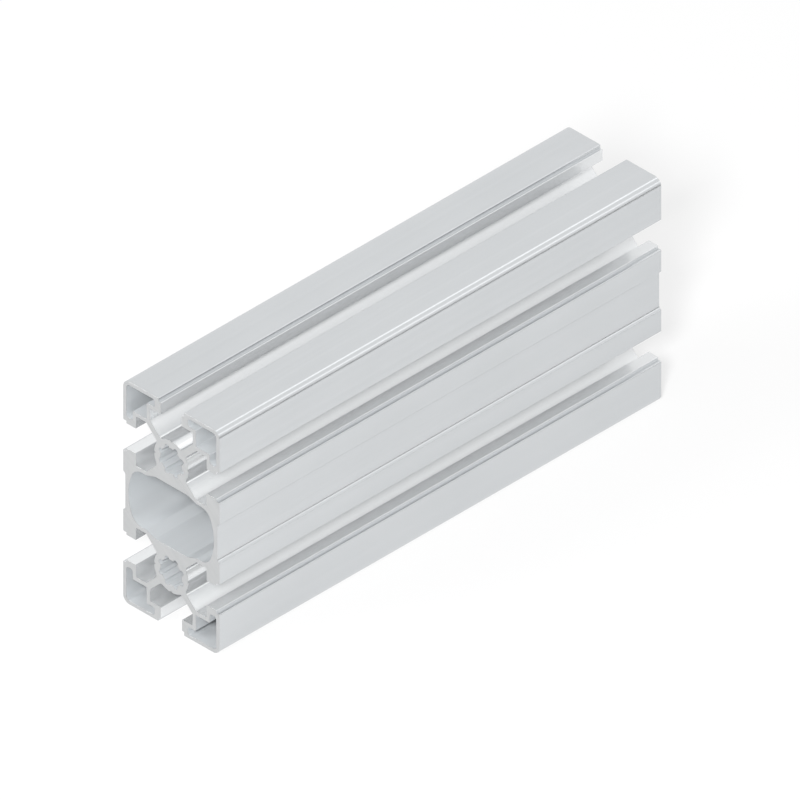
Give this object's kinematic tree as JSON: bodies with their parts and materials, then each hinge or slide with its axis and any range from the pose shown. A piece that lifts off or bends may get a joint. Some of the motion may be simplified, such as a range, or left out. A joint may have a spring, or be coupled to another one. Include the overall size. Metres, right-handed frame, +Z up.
{
  "type": "t-slot aluminium profile",
  "caption": "Straight length of hollow aluminium T-slot profile, twice as high as wide, with slots on every side, ribbed core bores for end screws and a central chamber.",
  "frame": {"origin": "the middle of the underside", "axes": "+X across the 45 mm width, +Y along the length towards the rear end, +Z up the 90 mm height"},
  "size_m": [0.045, 0.2074, 0.09],
  "materials": {
    "anodised_aluminium": "natural anodised, satin, with bare sawn ends"
  },
  "bodies": {
    "root": {"extruded_profile": "anodised_aluminium"}
  },
  "joints": []
}
